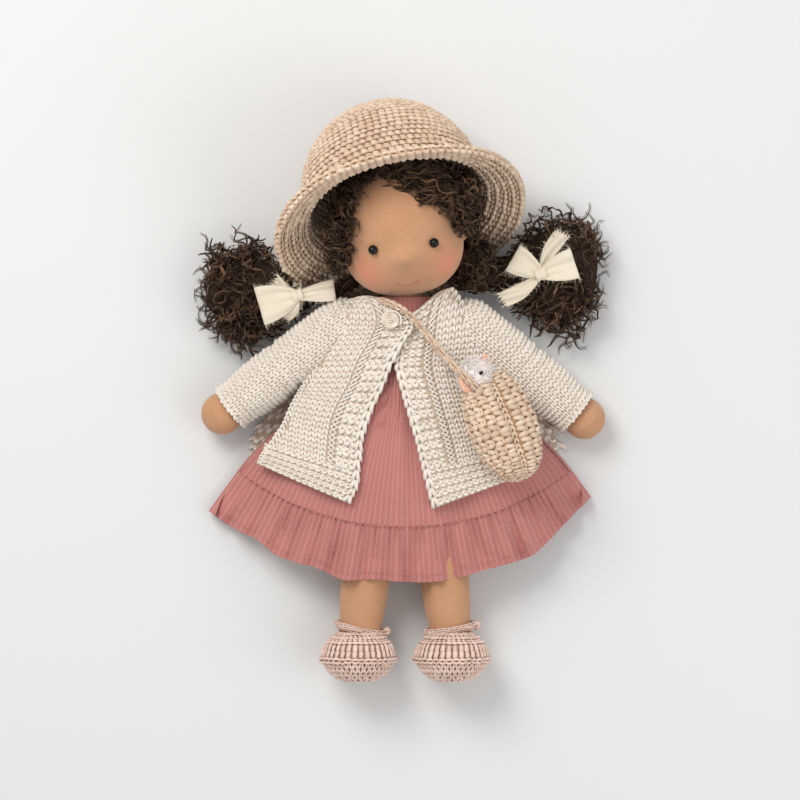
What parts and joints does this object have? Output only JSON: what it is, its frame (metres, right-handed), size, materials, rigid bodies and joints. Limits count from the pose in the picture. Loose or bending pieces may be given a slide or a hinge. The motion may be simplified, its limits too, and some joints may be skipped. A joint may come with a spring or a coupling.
{
  "type": "waldorf doll",
  "caption": "Soft cloth doll in a knitted cardigan, ruffled dress, crocheted sun hat and shoes, with a crossbody crochet bag that holds a small plush animal.",
  "frame": {"origin": "on the floor under the flat back of the cardigan, in the middle of the shoulders' and hips' width", "axes": "+Y towards the head, +Z out of the chest, +X towards the doll's left arm"},
  "size_m": [0.2269, 0.326, 0.1063],
  "materials": {
    "skin": "fine peach cotton jersey, matt",
    "eye": "polished black bead",
    "hair": "curly dark brown mohair",
    "raffia": "crocheted straw-coloured raffia",
    "wool": "knitted oatmeal wool, matt",
    "dress": "dusty rose cotton with a fine pale stripe",
    "shoe": "crocheted dusty pink cotton",
    "bow": "torn cream cotton",
    "plush": "pale pink fluffy yarn",
    "shell": "milky, slightly clear shell"
  },
  "bodies": {
    "doll": {"torso": "skin", "dress_bodice": "dress", "dress_skirt": "dress", "dress_ruffle": "dress", "cardigan_back": "wool", "cardigan_front_left": "wool", "cardigan_front_right": "wool", "cardigan_button": "shell", "bag_strap": "raffia"},
    "head": {"neck": "skin", "head": "skin", "ear_left": "skin", "ear_right": "skin", "eye_left": "eye", "eye_right": "eye", "hair_cap": "hair", "hair_fringe": "hair", "hair_side_left": "hair", "hair_side_right": "hair"},
    "hat": {"hat_crown": "raffia", "hat_brim": "raffia"},
    "pigtail_left": {"pigtail_left": "hair", "bow_left": "bow"},
    "pigtail_right": {"pigtail_right": "hair", "bow_right": "bow"},
    "arm_left": {"arm_left": "skin", "sleeve_left": "wool"},
    "arm_right": {"arm_right": "skin", "sleeve_right": "wool"},
    "leg_left": {"leg_left": "skin", "shoe_left": "shoe", "shoe_strap_left": "shoe"},
    "leg_right": {"leg_right": "skin", "shoe_right": "shoe", "shoe_strap_right": "shoe"},
    "bag": {"bag_front": "raffia", "bag_back": "raffia"},
    "plush": {"plush_animal": "plush", "plush_eye": "eye"}
  },
  "joints": [
    {"name": "head_nod", "type": "hinge", "parent": "doll", "child": "head", "pos_m": [0, 0.038, 0.0296], "axis": [1, 0, 0], "range_deg": [0, 6], "deforming": ["bag_strap"]},
    {"name": "hat_off", "type": "slide", "parent": "head", "child": "hat", "axis": [-0.2501, 0.9682, 0], "range_m": [0, 0.09]},
    {"name": "pigtail_left_lift", "type": "hinge", "parent": "head", "child": "pigtail_left", "pos_m": [-0.03, 0.0577, 0.022], "axis": [0, 1, 0], "range_deg": [0, 10]},
    {"name": "pigtail_right_lift", "type": "hinge", "parent": "head", "child": "pigtail_right", "pos_m": [0.03, 0.0605, 0.022], "axis": [0, -1, 0], "range_deg": [0, 10]},
    {"name": "arm_left_lift", "type": "hinge", "parent": "doll", "child": "arm_left", "pos_m": [-0.036, 0.033, 0.026], "axis": [-0.5906, 0.807, 0], "range_deg": [0, 60], "deforming": ["cardigan_front_left"]},
    {"name": "arm_right_lift", "type": "hinge", "parent": "doll", "child": "arm_right", "pos_m": [0.036, 0.033, 0.026], "axis": [-0.6225, -0.7826, 0], "range_deg": [0, 20], "deforming": ["cardigan_front_right"]},
    {"name": "leg_left_lift", "type": "hinge", "parent": "doll", "child": "leg_left", "pos_m": [-0.0165, -0.05894, 0.022], "axis": [-1, 0, 0], "range_deg": [0, 60], "deforming": ["dress_skirt", "dress_ruffle", "cardigan_front_left", "cardigan_front_right"]},
    {"name": "leg_right_lift", "type": "hinge", "parent": "doll", "child": "leg_right", "pos_m": [0.0165, -0.05894, 0.022], "axis": [-1, 0, 0], "range_deg": [0, 60], "deforming": ["dress_skirt", "dress_ruffle", "cardigan_front_left", "cardigan_front_right"]},
    {"name": "bag_lift", "type": "hinge", "parent": "doll", "child": "bag", "pos_m": [0.0378, 0.0169, 0.052], "axis": [-0.9272, -0.3746, 0], "range_deg": [0, 45], "deforming": ["bag_strap"]},
    {"name": "plush_out", "type": "slide", "parent": "bag", "child": "plush", "axis": [-0.3689, 0.9131, 0.1736], "range_m": [0, 0.03], "deforming": ["bag_strap"]}
  ]
}
